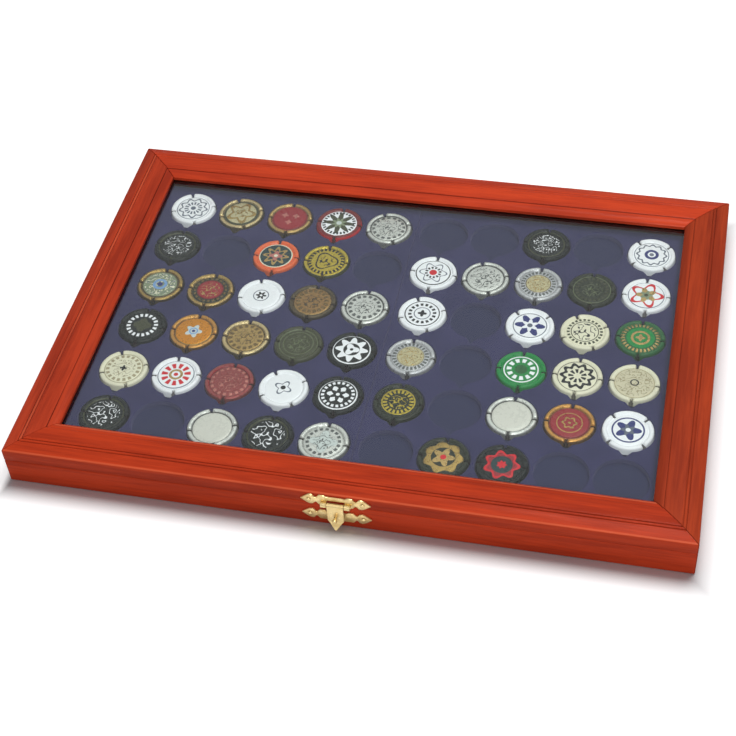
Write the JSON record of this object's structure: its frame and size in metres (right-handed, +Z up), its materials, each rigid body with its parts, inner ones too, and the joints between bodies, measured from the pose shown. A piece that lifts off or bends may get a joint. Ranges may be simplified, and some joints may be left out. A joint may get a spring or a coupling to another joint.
{
  "type": "champagne cap display case",
  "caption": "Flat hinged wooden case with a glass lid and a spear-ended front latch, holding decorated bottle caps in flocked trays with notched round recesses",
  "frame": {"origin": "middle of the case's underside, on the table", "axes": "+X to the right along the front rail, +Y from the latch to the hinges, +Z up"},
  "size_m": [0.406, 0.2971, 0.0292],
  "materials": {
    "cherry_wood": "satin red-brown stain and lacquer",
    "plywood": "bare plywood",
    "dark_strip": "dark stain, matt",
    "glass": "clear float glass",
    "blue_flock": "short velvety flock on a board",
    "brass": "polished, pale brass plate",
    "cap_white": "printed and varnished",
    "cap_cream": "printed and varnished",
    "cap_black": "printed and varnished",
    "cap_silver": "bare embossed metal",
    "cap_gold": "gold lacquer on metal",
    "cap_two_tone": "silver rim and gold-lacquered middle",
    "cap_burgundy": "metallic red lacquer",
    "cap_olive": "metallic dark lacquer",
    "cap_green": "printed and varnished"
  },
  "bodies": {
    "base": {"base_rail_front": "cherry_wood", "base_rail_back": "cherry_wood", "base_rail_left": "cherry_wood", "base_rail_right": "cherry_wood", "base_bottom_panel": "plywood", "tray_left": "blue_flock", "tray_right": "blue_flock", "cap_row1_column10": "cap_white", "cap_row2_column6": "cap_white", "cap_row2_column10": "cap_white", "cap_row3_column6": "cap_white", "cap_row3_column8": "cap_white", "cap_row5_column10": "cap_white", "cap_row3_column9": "cap_cream", "cap_row4_column9": "cap_cream", "cap_row4_column10": "cap_cream", "cap_row1_column8": "cap_black", "cap_row5_column6": "cap_black", "cap_row6_column8": "cap_black", "cap_row2_column7": "cap_silver", "cap_row5_column8": "cap_silver", "cap_row6_column7": "cap_gold", "cap_row2_column8": "cap_two_tone", "cap_row4_column6": "cap_two_tone", "cap_row5_column9": "cap_burgundy", "cap_row2_column9": "cap_olive", "cap_row3_column10": "cap_green", "cap_row4_column8": "cap_green", "hinge_left_base_leaf": "brass", "hinge_right_base_leaf": "brass", "hinge_left_pin": "brass", "hinge_right_pin": "brass", "hinge_screw_left_base_1": "brass", "hinge_screw_left_base_2": "brass", "hinge_screw_right_base_1": "brass", "hinge_screw_right_base_2": "brass", "latch_base_plate": "brass", "latch_nail_base_left": "brass", "latch_nail_base_right": "brass"},
    "lid": {"lid_rail_front": "cherry_wood", "lid_rail_back": "cherry_wood", "lid_rail_left": "cherry_wood", "lid_rail_right": "cherry_wood", "lid_glass": "glass", "glass_strip_front": "dark_strip", "glass_strip_back": "dark_strip", "glass_strip_left": "dark_strip", "glass_strip_right": "dark_strip", "hinge_left_lid_leaf": "brass", "hinge_right_lid_leaf": "brass", "hinge_screw_left_lid_1": "brass", "hinge_screw_left_lid_2": "brass", "hinge_screw_right_lid_1": "brass", "hinge_screw_right_lid_2": "brass", "latch_lid_plate": "brass", "latch_pin": "brass", "latch_nail_lid_left": "brass", "latch_nail_lid_right": "brass"},
    "tongue": {"latch_tongue": "brass", "latch_knob": "brass"}
  },
  "joints": [
    {"name": "lid_hinge", "type": "hinge", "parent": "base", "child": "lid", "pos_m": [0, 0.145, 0.01815], "axis": [-1, 0, 0], "range_deg": [0, 175]},
    {"name": "latch_hinge", "type": "hinge", "parent": "lid", "child": "tongue", "pos_m": [0, -0.1447, 0.0202], "axis": [-1, 0, 0], "range_deg": [0, 140]}
  ]
}
